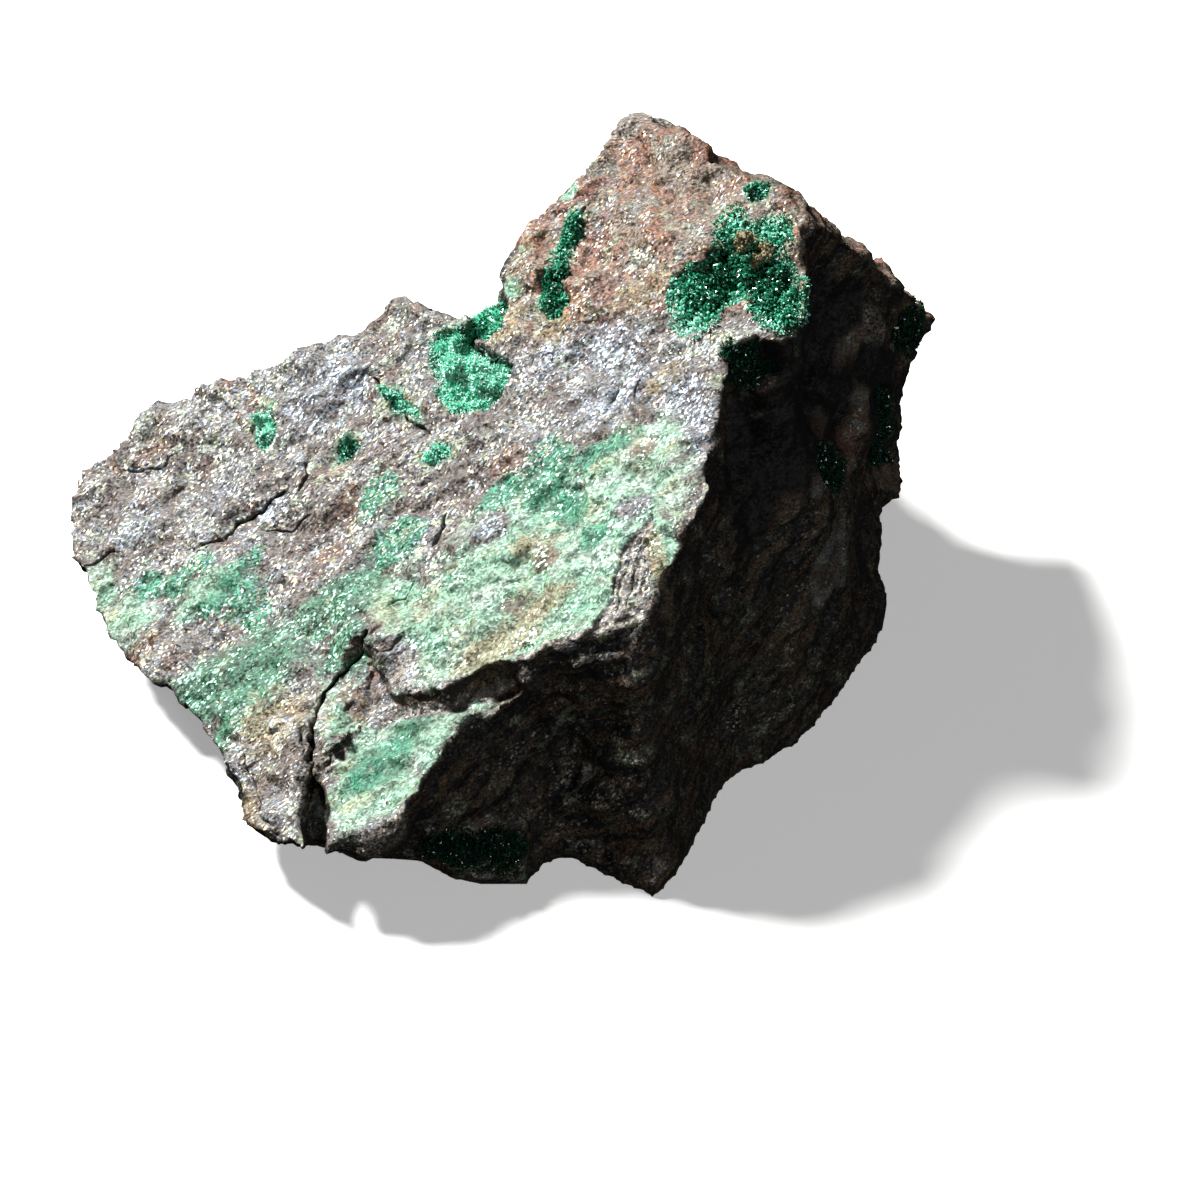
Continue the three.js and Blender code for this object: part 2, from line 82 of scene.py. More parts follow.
def fine_copy(node_name, name, cell):
    """The node's solid as a new piece, its surface made again in even cells of that size in mm."""
    piece = bpy.data.objects.new(name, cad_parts[node_name].data.copy())
    bpy.context.scene.collection.objects.link(piece)
    remesh = piece.modifiers.new("cells", "REMESH")
    remesh.mode = "VOXEL"
    remesh.voxel_size = cell * MM
    apply_modifiers(piece)
    return piece


def split_cells(piece, chosen):
    """Halves the chosen cells of the piece's surface."""
    cells = bmesh.new()
    cells.from_mesh(piece.data)
    cells.faces.ensure_lookup_table()
    edges = {edge for index in np.flatnonzero(chosen) for edge in cells.faces[index].edges}
    bmesh.ops.subdivide_edges(cells, edges=list(edges), cuts=1, use_grid_fill=True)
    bmesh.ops.triangulate(cells, faces=[face for face in cells.faces if len(face.verts) > 4])
    cells.to_mesh(piece.data)
    cells.free()


def rows(elements, name):
    """That vector of each vertex or face, as rows of X, Y, Z."""
    values = np.empty(len(elements) * 3)
    elements.foreach_get(name, values)
    return values.reshape(-1, 3)


def put_back(piece, places):
    """Moves the piece's vertices to those places, in mm."""
    piece.data.vertices.foreach_set("co", (places * MM).ravel())
    piece.data.update()


def ramp(start, end, value):
    """0 at the start and before it, 1 at the end and past it, and a smooth slope between them."""
    share = np.clip((value - start) / (end - start), 0, 1)
    return share * share * (3 - 2 * share)


def roughness(points, sizes, seed):
    """Smooth noise from -1 to 1 whose lumps have those sizes in mm along the points' three axes."""
    return np.array([noise.noise(p) for p in (points / np.array(sizes) + 9.7 * seed).tolist()])


def flakes(points, sizes, levels, seed):
    """Noise cut into flat levels with short scarps between them, as split layers leave."""
    height = roughness(points, sizes, seed) * levels
    level = np.floor(height)
    return (level + ramp(0.8, 1, height - level)) / levels


def line_distance(points, corners):
    """How far each point (X, Y) lies from a line with those corners, and on which side of it."""
    best = np.full(len(points), 1e9)
    side = np.zeros(len(points))
    for start, end in zip(corners, corners[1:]):
        a = np.array(start)
        along = np.array(end) - a
        share = np.clip(((points - a) @ along) / (along @ along), 0, 1)
        offset = points - a - share[:, None] * along
        distance = np.hypot(offset[:, 0], offset[:, 1])
        turn = along[0] * offset[:, 1] - along[1] * offset[:, 0]
        side = np.where(distance < best, np.sign(turn), side)
        best = np.minimum(best, distance)
    return best, side


def shifted(points):
    """Moves each place a little, the same way for rock and crystals, so that no rim or edge stays even."""
    moved = points.copy()
    for axis in range(3):
        sway = 0.5 * roughness(points, (3.2, 3.2, 3.2), 61 + axis)
        sway += 0.35 * roughness(points, (1.4, 1.4, 1.4), 64 + axis)
        moved[:, axis] += sway * ramp(FLAT_FOOT, 3, points[:, 2])
    return moved


# Cracks and low steps of the parting face: corners on the plan, how deep the crack is, and how much
# the side on the left of the line stands up.
CRACKS = [
    ([(-46, -17), (-44, -17.5), (-43, -17), (-41, -17)], 0.3, 0.1),
    ([(-31.5, -19.5), (-28, -19), (-27.5, -18), (-25, -18), (-23, -16.5)], 0.5, 0.25),
    ([(-21, -17.5), (-20, -16), (-20, -14.5)], 0.3, 0.15),
    ([(-24.5, -20), (-22, -21), (-20.5, -20)], 0.3, 0.1),
    ([(-39.5, -7.5), (-36.5, -8.5), (-35, -8)], 0.15, 0.15),
    ([(-5.5, -26), (-5.5, -27), (-6, -28), (-6.5, -29.5)], 1.0, 0.1),
    ([(-11, -34), (-9.5, -33), (-9, -32.5)], 0.25, 0.1),
    ([(-12, -39.5), (-10.5, -39), (-10, -38.5)], 0.25, 0.1),
    ([(-1, -17.5), (-0.5, -18.5), (0, -20), (-1, -21), (-2, -21.5), (-2, -23)], 0.15, 0.1),
    ([(14.5, -20.5), (15, -18.5)], 0.2, 0.1),
    ([(12, -20), (12.5, -18.5)], 0.2, 0.1),
    ([(14.9, -37), (14, -40.5), (13.2, -44)], 0.2, 0.1),
    ([(13.9, -38), (12.9, -41), (12, -44.5)], 0.15, 0.1),
    ([(-26.5, -45.5), (-25.4, -49.2), (-23.1, -56)], 0.25, 0.3),
    ([(-13.3, -37.2), (-17.7, -41), (-19.4, -45.8), (-19.4, -50)], 1.6, 0.2),
    ([(-14.2, -46.3), (-16, -47.2), (-17.4, -49.5)], 0.5, 0.3),
    ([(9.3, 3.1), (8.2, 1), (6.8, -0.8), (6, -2)], 0.8, 0),
    ([(-13.1, -7.3), (-11.4, -9.8), (-10.1, -12.4), (-8.7, -14.7), (-7.4, -16)], 0.5, 0),
]
FRONT_END = (15.5, -50.5)                             # on the plan, the front wall's right end, less broken
NOTCH_CORNER = (-19.7, -59)                           # on the plan, the sharp corner beside the notch
TERRACE_LIP = 1.3                                     # mm, how far the terrace's front edge stands out
# The front edge of the overhanging plate, which is chipped.
PLATE_RIM = [(-10, -44.8), (-5.7, -46), (-1.6, -45.5), (3.4, -45.8), (10.5, -45.8), (13.5, -45.8), (16, -45)]
# Places on the right wall, with their reach in mm, where the hollows of the wall are painted black as shade.
SHADED_HOLLOWS = [(31, -15, 34, 7), (34, -12, 31, 6), (29, -21, 30, 6), (27, -28, 26, 4), (40.5, -7, 27, 4),
         (35, -5, 34, 4), (38.5, -8, 20, 5)]
# A splinter that has split off beside the plate's edge lies deeper: its left and its right edge.
SPLINTER = [
    [(15.8, -34.4), (14.5, -35.8), (13.7, -36.2), (12.7, -39), (11.6, -41.8), (10.6, -43.8), (9.7, -46.2)],
    [(15.8, -34.4), (15.9, -37.4), (15.3, -39.9), (15.5, -42.3), (15.1, -44.3), (14.1, -46.6)],
]


def crack_distances(spots):
    """For each crack, how far the spots on the plan lie from it, and on which side."""
    points = np.stack([spots[:, 0], spots[:, 1], np.zeros(len(spots))], 1)
    wander = 0.25 * np.stack([roughness(points, (1.1, 1.1, 1), seed) for seed in (11, 12)], 1)
    return [line_distance(spots + wander, corners) for corners, deep, step in CRACKS]


rock = fine_copy("host_rock", "schist_block", WALL_CELL)

# The parting faces carry the finest detail, so their cells are halved, and twice more along the cracks.
split_cells(rock, rows(rock.data.polygons, "normal") @ np.array(PARTING) > 0.8)
for width in (0.9, 0.5):
    level_faces = rows(rock.data.polygons, "normal") @ np.array(PARTING) > 0.8
    spots = rows(rock.data.polygons, "center")[:, :2] / MM - np.array(plan)
    nearest = np.min([distance for distance, side in crack_distances(spots)], axis=0)
    split_cells(rock, level_faces & (nearest < width))

places = rows(rock.data.vertices, "co") / MM
normals = rows(rock.data.vertex_normals, "vector")
layered = places @ np.array(TO_GRAIN).T
on_plan = places[:, :2] - np.array(plan)
parting = ramp(0.72, 0.93, normals @ np.array(PARTING))
wall = 1 - parting
above_foot = ramp(FLAT_FOOT, 3, places[:, 2])

# Relief of the parting faces: flakes up to a fifth of a millimetre thick, drawn out along the grain.
relief = 0.17 * flakes(layered, (7, 3.4, 40), 3, 1)
relief += 0.11 * flakes(layered, (2.6, 1.3, 20), 2, 2)
fine_relief = 0.12 * roughness(layered, (1.7, 0.9, 1.2), 3) + 0.14 * roughness(layered, (0.8, 0.5, 0.6), 4)

# Relief of the walls: ledges where layers end, broken in blocks across them.
broken = 0.9 * flakes(layered, (10, 8, 2.2), 3, 5) + 0.5 * roughness(layered, (4.5, 4.5, 3), 7)
fine_broken = 0.5 * flakes(layered, (3.5, 3.2, 1.2), 2, 6) + 0.35 * roughness(layered, (1.8, 1.8, 0.9), 8)
smoother = 1 - 0.6 * ramp(8, 3, np.hypot(*(on_plan - FRONT_END).T))
broken *= smoother
fine_broken *= smoother

depth = parting * (relief + fine_relief + 0.06) + wall * (broken + fine_broken + 0.15)
# How far each spot stands out, 0 in dips: standing ledges of the walls get a painted highlight, and dips get
# painted shade.
standing = 0.5 + parting * fine_relief * 2.5 + wall * (0.35 * broken + fine_broken + 0.1)   # 0 in dips
# The grooves of the cracks are painted near black, as the shade in them.
crack = np.zeros(len(places))
for (corners, deep, step), (distance, side) in zip(CRACKS, crack_distances(on_plan)):
    groove = 1 - ramp(0.04, 0.12 + 0.12 * deep, distance)
    depth -= parting * deep * groove
    depth += parting * step * side * (1 - ramp(0.1, 1.8, distance)) / 2
    crack = np.maximum(crack, groove * min(1, deep / 0.4))

from_rim, rim_side = line_distance(on_plan, PLATE_RIM)
from_rim += 0.5 * roughness(layered, (1.5, 1.5, 3), 13)
under_rim = (rim_side < 0) * ramp(-1, 0.5, on_plan[:, 0]) * ramp(16.5, 15.5, on_plan[:, 0])
chipped = (1 - ramp(0.4, 1.1, from_rim)) * parting * (1 - under_rim)
depth += 0.45 * chipped * roughness(layered, (1.6, 0.8, 1), 14) - 0.9 * under_rim * parting
left_of, right_of = [line_distance(on_plan, corners) for corners in SPLINTER]
splinter = ramp(-0.12, 0.12, left_of[0] * left_of[1]) * ramp(-0.12, 0.12, -right_of[0] * right_of[1])
splinter *= ramp(-34.2, -35.2, on_plan[:, 1]) * parting
depth -= splinter * 0.45

# How near each spot is to a crust of crystals, and to which. A slit narrower than a cell is closed over
# its crust, so the rock there counts as crust and lies a little deeper.
crust_corners, crust_faces, crust_names = [], [], []
for name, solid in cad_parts.items():
    if name != "host_rock":
        first = len(crust_corners)
        crust_corners += [vertex.co.copy() for vertex in solid.data.vertices]
        crust_faces += [[first + i for i in face.vertices] for face in solid.data.polygons]
        crust_names += [name] * len(solid.data.polygons)
crusts = BVHTree.FromPolygons(crust_corners, crust_faces)
from_crust = np.full(len(places), FRINGE)
next_crust = np.full(len(places), "", dtype=object)
for index, place in enumerate((places * MM).tolist()):
    hit = crusts.find_nearest(place, FRINGE * MM)
    if hit[3] is not None:
        from_crust[index] = hit[3] / MM
        next_crust[index] = crust_names[hit[2]]
        if parting[index] > 0.5:
            under = crusts.ray_cast(Vector(place) + 0.2 * MM * PARTING, -PARTING, 1.7 * MM)
            if under[2] is not None:
                from_crust[index] = 0
                next_crust[index] = crust_names[under[2]]
                depth[index] -= UNDER_CRUST

# The right wall's hollows are painted black as shade, through the crack mask.
for x, y, z, reach in SHADED_HOLLOWS:
    away = np.linalg.norm(np.column_stack([on_plan, places[:, 2]]) - (x, y, z), axis=1)
    crack = np.maximum(crack, wall * (1 - ramp(0.6, 1.3, away / reach + 0.4 * broken)))

# The broken front edge of the terrace stands a little further out, so that it catches the light.
lip = TERRACE_LIP * ramp(-56, -58.5, on_plan[:, 1]) * ramp(-3, -5, on_plan[:, 0])
lip *= ramp(4, 8, places[:, 2])
moved = shifted(places) + normals * (depth * above_foot)[:, None] + np.outer(lip, (0, -1, 0.2))
# The sharp corner beside the notch is worn down.
corner = ramp(2.4, 0.4, np.hypot(*(on_plan - NOTCH_CORNER).T))
put_back(rock, moved + np.outer(corner, (-0.2, 0.7, -1)))

# Stains, each a list of patches: place on the plan, and size along and across the grain, in mm. Last come
# the places that the films leave bare, and the patches that are painted pale as light, as if lit.
GREEN_FILM = [(-31, -36.5, 5, 3.5), (-24.5, -35, 6, 4), (-17.5, -32, 6, 3), (-26, -39.5, 4, 3.5),
              (-16, -37.5, 3, 2.5), (-28.5, -43.5, 3, 2.5), (-12, -51, 3, 2.5), (-9, -47.5, 2.5, 2)]
MINT_FILM = [(-1.5, -37.5, 9, 6.5), (9.5, -37, 7, 7), (-6, -40.5, 4, 4), (3.5, -30, 7, 4.5),
             (17.3, -39, 1.5, 4), (12, -30, 6, 4), (6.5, -43, 6, 3), (16.5, -32, 4, 3),
             (-42.5, -20.5, 2, 3), (-39.5, -25, 3, 3), (-31, -25.5, 3.5, 2), (-17, -43.5, 2, 4),
             (15.5, -26.5, 4, 3), (0.5, -44, 5, 3), (-10.5, -34, 3.5, 4), (-12, -46, 4, 5),
             (-13, -53, 5, 5), (-7, -50, 4, 3.5), (-9, -56, 4, 3), (7.1, 6, 0.8, 1.4),
             (2.9, 1.1, 0.8, 1.6), (1.1, -2.9, 1, 1.2)]
TEAL_SPOTS = [(-34, -23, 1.6, 1.5), (-31.5, -22, 1.6, 1.4), (-27.5, -26.5, 3, 2.5), (-25.5, -29.5, 1.6, 1.5),
              (-30, -27, 2, 1.4), (-37, -22, 1.6, 1.8), (5.5, -24.5, 2.2, 2.6), (0.5, -26, 2.6, 2),
              (11, -25.5, 2.6, 1.1), (7.5, -30, 2, 2.4), (5, -27.5, 2.4, 2), (-10.5, -27, 3, 2.4),
              (-12.5, -21, 2.4, 1.8), (-26, -23.5, 1.4, 1.3), (-13.5, -52, 2, 1.8), (10, -35, 1.5, 1.5),
              (-10.5, -49, 1.6, 1.6), (-12.5, -43.5, 1.2, 2.2)]
BUFF = [(4.5, -40, 3, 1.5), (0, -43, 4.5, 2), (-23, -43, 3.5, 3), (15, -9.5, 3.6, 1.8),
        (6.5, -8.5, 3, 2), (0.5, -7, 2, 1.8), (16.5, -40, 1, 4), (-25.5, -52.5, 1.2, 3), (17.5, -19, 2, 1.5),
        (3, -33, 1.5, 0.8)]
RUST = [(-18, -25, 1.7, 1.1), (-20.5, -27, 1.1, 0.9), (-28.5, -29.5, 0.9, 0.9), (-34, -32, 1.1, 1.5),
        (-38, -29.5, 2.6, 1.3), (-29, -2, 0.9, 0.8), (-28, -6, 0.7, 1.1), (-40.5, -6.5, 1.3, 0.8),
        (-37, -6.5, 1.9, 1), (-15.5, -20.5, 1.5, 2.3), (-17.5, -16, 1.3, 1.2), (-26.5, -4.5, 0.6, 1.5),
        (14, 8.5, 1.7, 3.6), (13.5, 4.5, 1.3, 1.8), (17.5, 1.5, 0.8, 3), (16.5, -2, 1.1, 2.3),
        (3.5, 2, 1.4, 2.6), (8.5, -2.5, 1.9, 2.8), (4.5, -4.5, 1.1, 1.8), (8, -7, 1.1, 2.3),
        (20, -8, 1.5, 0.8), (30.5, -7.5, 1.1, 1.8), (21.5, 5, 1.3, 1), (25, 0.5, 1.7, 1),
        (1, -22.5, 1.7, 1.5), (15, -27, 1.3, 1), (19.5, -21.5, 0.6, 0.6), (21, -26, 0.6, 0.6),
        (5, -35, 1.3, 1.3), (-15, -43, 1, 2.4), (-12.6, -40.5, 0.5, 1.6), (2, -39, 1.6, 1)]
SILVER = [(12.5, -12.5, 4, 2.6), (7, -13, 3, 2), (12, -18.5, 5, 3), (19.5, -22, 2, 4), (21, -26.5, 1.9, 2.6),
          (-18, -7, 4.5, 3.5), (-30, -14, 2, 1.5), (-38, -15, 2.5, 2), (-24, -18, 2, 1), (-10, -41.5, 2, 3),
          (-0.5, -30, 2.6, 1.8), (14.5, -32.5, 2, 1.5)]
BARE = [(-10, -41.5, 1.6, 3), (-0.5, -30, 2.4, 1.6), (14, -33, 2, 1.3), (-17.6, -50, 1, 3),
        (-14, -58.6, 7, 1.4), (-27, -46, 2.5, 3), (-24, -50, 2, 3)]
LIT_PATCHES = [(15, 12, 4, 1.6), (-12, -58.8, 6, 1), (39.6, -4.2, 1.3, 1), (-9.7, -42, 1.3, 2.2),
         (-18.5, -43, 1, 2.6)]

# What turns a place on the plan into along and across the grain.
PLAN_TO_GRAIN = np.array([[0.954, -0.302], [0.302, 0.954]])
# A straight joint that the deep green film stops along: a place on it, and the direction across it.
JOINT = np.array((-16, -27.3))
ACROSS_JOINT = np.array((-0.294, 0.956))

ragged = 0.45 * roughness(layered, (5, 3, 4), 21) + 0.3 * roughness(layered, (1.6, 1, 1.2), 22)


def stain(patches, soft):
    """How strongly the patches colour each vertex, from 0 to 1, with ragged rims."""
    strength = np.zeros(len(places))
    for x, y, along, across in patches:
        reach = np.hypot(*((on_plan - (x, y)) @ PLAN_TO_GRAIN / (along, across)).T) + 0.6 * ragged
        strength = np.maximum(strength, 1 - ramp(1 - soft, 1 + soft, reach))
    return strength


past_joint = (on_plan - JOINT) @ ACROSS_JOINT
film_side = np.maximum(1 - ramp(-0.25, 0.25, past_joint), ramp(1, 3, past_joint))
green = stain(GREEN_FILM, 0.7) * np.where(on_plan[:, 0] < -14, film_side, 1)


def paint(piece, strengths):
    """Stores the named strengths of each vertex, for the material to read."""
    for name, values in strengths.items():
        layer = piece.data.attributes.new(name, "FLOAT", "POINT")
        layer.data.foreach_set("value", values)


# Where the stains lie: the films only on sound parting faces, the brown stone only on the tower.
top_face = np.median(layered[(parting > 0.9) & (on_plan[:, 1] > -35), 2])
sunk = top_face - layered[:, 2]                                       # how far under the big parting face
recess = ramp(0.9, 1.5, sunk) * ramp(-46.6, -45.8, on_plan[:, 1])     # under the overhanging plate
flat = ramp(0.2, 0.7, parting)
kept = flat * (1 - 0.8 * stain(BARE, 0.35)) * (1 - recess) * (1 - chipped) * (1 - splinter) * (1 - under_rim)
fringe = (1 - ramp(0.3, FRINGE, from_crust + 1.2 * ragged)) * (0.4 + 0.6 * flat)
tower = ramp(-10.5, -5.5, on_plan[:, 1] + 0.28 * on_plan[:, 0] + 4 * ragged) * ramp(-4, 3, on_plan[:, 0])

# Steep faces are painted dark as shade. Ledges that face up are spared and stay as pale as the parting
# faces, as if lit, but for those of the front wall's right half. On the terrace's rim and on the fin,
# steeper ones are spared as well.
lit_ledge = ramp(0.6, 0.76, normals[:, 2])
lit_ledge *= np.maximum(ramp(-46.5, -45.5, on_plan[:, 1]), ramp(9, 7, on_plan[:, 0]))
lit_ledge = np.maximum(lit_ledge, ramp(0.35, 0.5, normals[:, 2]) * ramp(-55.5, -56.5, on_plan[:, 1]))
lit_ledge = np.maximum(lit_ledge, ramp(0.35, 0.5, normals[:, 2]) * ramp(32, 34, on_plan[:, 0]))

paint(rock, {
    "green": green * kept,
    "mint": stain(MINT_FILM, 0.7) * kept,
    "teal": stain(TEAL_SPOTS, 0.6) * kept,
    "fringe": fringe,
    "rust": stain(RUST, 0.6),
    "buff": stain(BUFF, 0.6),
    "silver": stain(SILVER, 0.8) * flat,
    # fresh_and_lit: the pale chipped rim, and the patches painted pale as light.
    "fresh_and_lit": np.maximum(stain(LIT_PATCHES, 0.6), chipped),
    # side: painted shade, darkening the steep faces and the place under the plate's rim, but not the ledges.
    "side": np.maximum(wall * (1 - lit_ledge), under_rim),   # steep faces, darker than the ledges
    "tower": tower,
    "splinter": splinter,
    "standing": np.clip(standing, 0, 1),
    "crack": crack,
})
rock.data.polygons.foreach_set("use_smooth", np.ones(len(rock.data.polygons), bool))


def linear(code):
    """An sRGB hex colour as the linear values that a shader takes."""
    parts = [int(code[i:i + 2], 16) / 255 for i in (1, 3, 5)]
    return tuple(((c + 0.055) / 1.055) ** 2.4 if c > 0.04045 else c / 12.92 for c in parts) + (1.0,)


def node(tree, kind, inputs=(), **settings):
    """Adds a shader node of that kind with its settings. An input takes a number, a hex colour, a socket, or
    another node, whose first output in use is linked."""
    made = tree.nodes.new("ShaderNode" + kind)
    for name, value in settings.items():
        setattr(made, name, value)
    for key, value in dict(inputs).items():
        if isinstance(value, bpy.types.Node):
            value = next(output for output in value.outputs if output.enabled)
        if isinstance(value, bpy.types.NodeSocket):
            tree.links.new(value, made.inputs[key])
        else:
            made.inputs[key].default_value = linear(value) if isinstance(value, str) else value
    return made


def blank_material(name):
    """A new material without nodes, and its node tree."""
    material = bpy.data.materials.new(name)
    material.use_nodes = True
    material.node_tree.nodes.clear()
    return material, material.node_tree


def tinted(tree, colour, tint, amount, low, high, most=1.0):
    """Lays a tint over the colour: none where the amount is low, and that much where it is high."""
    cover = node(tree, "MapRange", {0: amount, 1: low, 2: high, 4: most}, interpolation_type="SMOOTHSTEP")
    return node(tree, "Mix", {0: cover, 6: colour, 7: tint}, data_type="RGBA")


def mica_schist():
    """Mica schist, split and broken: grey-brown quartz and mica grains, some of them loose flakes that
    flash silver, layered walls painted dark as shade, and copper and iron stains."""
    material, tree = blank_material("mica_schist")

    # Patterns from real sizes in mm: mica and quartz grains 0.19, pepper between them 0.22, mottling 1.6,
    # clouds of colour 3.2, broad changes 9 and layers 0.8 thick. Real grains go down to half of 0.19, which
    # is too fine to show, so they are drawn coarser.
    place = node(tree, "TexCoord").outputs["Object"]
    layered = node(tree, "Mapping", {"Vector": place, "Rotation": TO_GRAIN.to_euler()})
    drawn_out = node(tree, "Mapping", {"Vector": layered, "Scale": (0.65, 1.0, 0.9)})
    thin_layers = node(tree, "Mapping", {"Vector": layered, "Scale": (0.1, 0.1, 1.0)})
    grains = node(tree, "TexVoronoi", {"Vector": drawn_out, "Scale": 1 / (0.19 * MM)}).outputs["Color"]
    grain = node(tree, "SeparateColor", {0: grains}).outputs
    speckle = node(tree, "TexNoise", {"Vector": drawn_out, "Scale": 1 / (0.22 * MM), "Detail": 4.0,
                                      "Roughness": 0.7})
    mottle = node(tree, "TexNoise", {"Vector": drawn_out, "Scale": 1 / (1.6 * MM), "Detail": 6.0,
                                     "Roughness": 0.65})
    clouds = node(tree, "TexNoise", {"Vector": drawn_out, "Scale": 1 / (3.2 * MM), "Detail": 4.0,
                                     "Roughness": 0.6}).outputs["Color"]
    patch = node(tree, "SeparateColor", {0: clouds}).outputs
    broad = node(tree, "TexNoise", {"Vector": layered, "Scale": 1 / (9 * MM), "Detail": 3.0})
    layers = node(tree, "TexNoise", {"Vector": thin_layers, "Scale": 1 / (0.8 * MM), "Detail": 5.0,
                                     "Roughness": 0.6})
    names = ("green", "mint", "teal", "fringe", "rust", "buff", "silver", "fresh_and_lit", "side", "tower",
             "splinter", "standing", "crack")
    painted = {name: node(tree, "Attribute", attribute_name=name).outputs["Fac"] for name in names}

    # Rock: silver grey with browner patches, brown on the tower, and layered on the broken walls, which are
    # painted dark as shade.
    body = tinted(tree, "#786c63", "#949391", patch[0], 0.42, 0.6)
    body = tinted(tree, body, "#7a5f53", patch[1], 0.52, 0.66, 0.75)
    tower_brown = tinted(tree, "#917b66", "#93604a", broad, 0.46, 0.6)
    tower_brown = tinted(tree, tower_brown, "#8f8f7f", patch[2], 0.52, 0.64, 0.8)
    tower_brown = tinted(tree, tower_brown, "#a0694a", patch[1], 0.54, 0.66, 0.7)
    body = tinted(tree, body, tower_brown, painted["tower"], 0.2, 0.8)
    side = tinted(tree, "#0b0806", "#86694a", layers, 0.46, 0.6)
    side = tinted(tree, side, "#2b2e19", patch[2], 0.5, 0.66, 0.7)
    side = tinted(tree, side, "#2f1b19", broad, 0.5, 0.62, 0.7)
    # Ledges that stand out on the walls are painted lighter, a painted highlight.
    side = tinted(tree, side, "#a3937d", painted["standing"], 0.75, 1.05, 0.7)
    # The steep faces take the dark wall colour: painted shade.
    body = tinted(tree, body, side, painted["side"], 0.35, 0.8)
    turned = node(tree, "Mapping", {"Vector": layered, "Rotation": (0.0, 0.0, -0.71)})
    strands = node(tree, "Mapping", {"Vector": turned, "Scale": (0.12, 1.0, 1.0)})
    fibres = node(tree, "TexNoise", {"Vector": strands, "Scale": 1 / (0.5 * MM), "Detail": 4.0})
    fibrous = tinted(tree, "#5d524a", "#c4beb4", fibres, 0.4, 0.6)
    body = tinted(tree, body, fibrous, painted["splinter"], 0.2, 0.8)

    def stained(colour, tint, strength, most):
        """Lays a stain over the colour, broken up so that the rock shows through."""
        swing = node(tree, "Math", {0: mottle, 1: 2.4, 2: -1.2}, operation="MULTIPLY_ADD")
        swung = node(tree, "Math", {0: strength, 1: swing}, operation="ADD")
        return tinted(tree, colour, tint, swung, 0.1, 0.85, most)

    # Copper leaves a mint and a deep green film, teal spots and a seafoam rim round each hollow, and iron
    # leaves buff and rust. Bluish silver is mica alone. Chipped rock is pale, and the lit patches are
    # painted pale: painted light.
    mint = tinted(tree, "#a2d5b2", "#74b896", patch[0], 0.42, 0.6)
    mint = tinted(tree, mint, "#c3c496", patch[1], 0.52, 0.66, 0.7)
    mint = tinted(tree, mint, "#cfe6d4", patch[2], 0.5, 0.66, 0.8)
    body = stained(body, mint, painted["mint"], 0.92)
    film = tinted(tree, "#0a6b44", "#3f916a", patch[1], 0.42, 0.6)
    film = tinted(tree, film, "#94b9a1", patch[2], 0.54, 0.66, 0.7)
    body = stained(body, film, painted["green"], 0.9)
    buff = tinted(tree, "#9a8254", "#bba678", mottle, 0.35, 0.65)
    body = stained(body, buff, painted["buff"], 0.75)
    rust = tinted(tree, "#65412f", "#9c7055", mottle, 0.35, 0.65)
    rust = tinted(tree, rust, "#b0714a", painted["tower"], 0.2, 1.0, 0.6)
    body = stained(body, rust, painted["rust"], 0.85)
    body = stained(body, "#8e9aa6", painted["silver"], 0.28)
    fresh_and_lit = tinted(tree, "#9c9286", "#d2c9bc", mottle, 0.35, 0.65)
    body = stained(body, fresh_and_lit, painted["fresh_and_lit"], 0.85)
    teal = tinted(tree, "#0b6b49", "#3fb78b", speckle, 0.35, 0.65)
    body = stained(body, teal, painted["teal"], 0.92)
    seafoam = tinted(tree, "#5fa583", "#c2c79c", mottle, 0.35, 0.65)
    body = stained(body, seafoam, painted["fringe"], 0.8)

    # Salt and pepper: each grain is lighter or darker than the next, less so under the copper film and more
    # on the crumbly walls.
    pepper = tinted(tree, "#7c7c7c", "#ffffff", speckle, 0.36, 0.62)
    pepper = tinted(tree, pepper, "#dcdcdc", painted["mint"], 0.0, 1.0, 0.7)
    crumbly = tinted(tree, "#2c2a29", "#ffffff", speckle, 0.42, 0.58)
    pepper = tinted(tree, pepper, crumbly, painted["side"], 0.3, 0.9)
    salt = tinted(tree, "#a6a6a6", "#ffffff", grain[1], 0.0, 1.0)
    # Dips of the relief are painted darker, a painted shade.
    hollow = tinted(tree, "#ffffff", "#a09890", painted["standing"], 0.5, 0.05)
    for shade in (pepper, salt, hollow):
        body = node(tree, "Mix", {0: 1.0, 6: body, 7: shade}, data_type="RGBA", blend_type="MULTIPLY")
    # Cracks and the right wall's hollows are painted near black: painted shade.
    body = tinted(tree, body, "#070604", painted["crack"], 0.2, 0.9)

    # Mica flakes lie nearly along the layers, so they flash together where the light meets them.
    flaky = -1.3
    for strength, change in ((painted["side"], -0.06), (painted["mint"], -0.14), (painted["green"], -0.08),
                             (painted["tower"], -0.05), (patch[0], 1.0), (painted["silver"], 0.08)):
        flaky = node(tree, "Math", {0: strength, 1: change, 2: flaky}, operation="MULTIPLY_ADD")
    flaky = node(tree, "Math", {0: grain[0], 1: flaky}, operation="ADD")
    sound = node(tree, "MapRange", {0: painted["crack"], 1: 0.5, 2: 0.1}, interpolation_type="SMOOTHSTEP")
    flake = node(tree, "MapRange", {0: flaky, 1: 0.0, 2: 0.04}, interpolation_type="SMOOTHSTEP")
    flake = node(tree, "Math", {0: flake, 1: sound}, operation="MULTIPLY")
    silver = tinted(tree, "#98a6b8", "#b3a78c", grain[2], 0.2, 0.8)
    for name, tint, most in (("silver", "#a3b7d2", 0.6), ("green", "#8dc2a6", 1.0),
                             ("mint", "#b4d8bf", 1.0), ("side", "#7d766d", 1.0)):
        silver = tinted(tree, silver, tint, painted[name], 0.0, 1.0, most)
    body = node(tree, "Mix", {0: flake, 6: body, 7: silver}, data_type="RGBA")

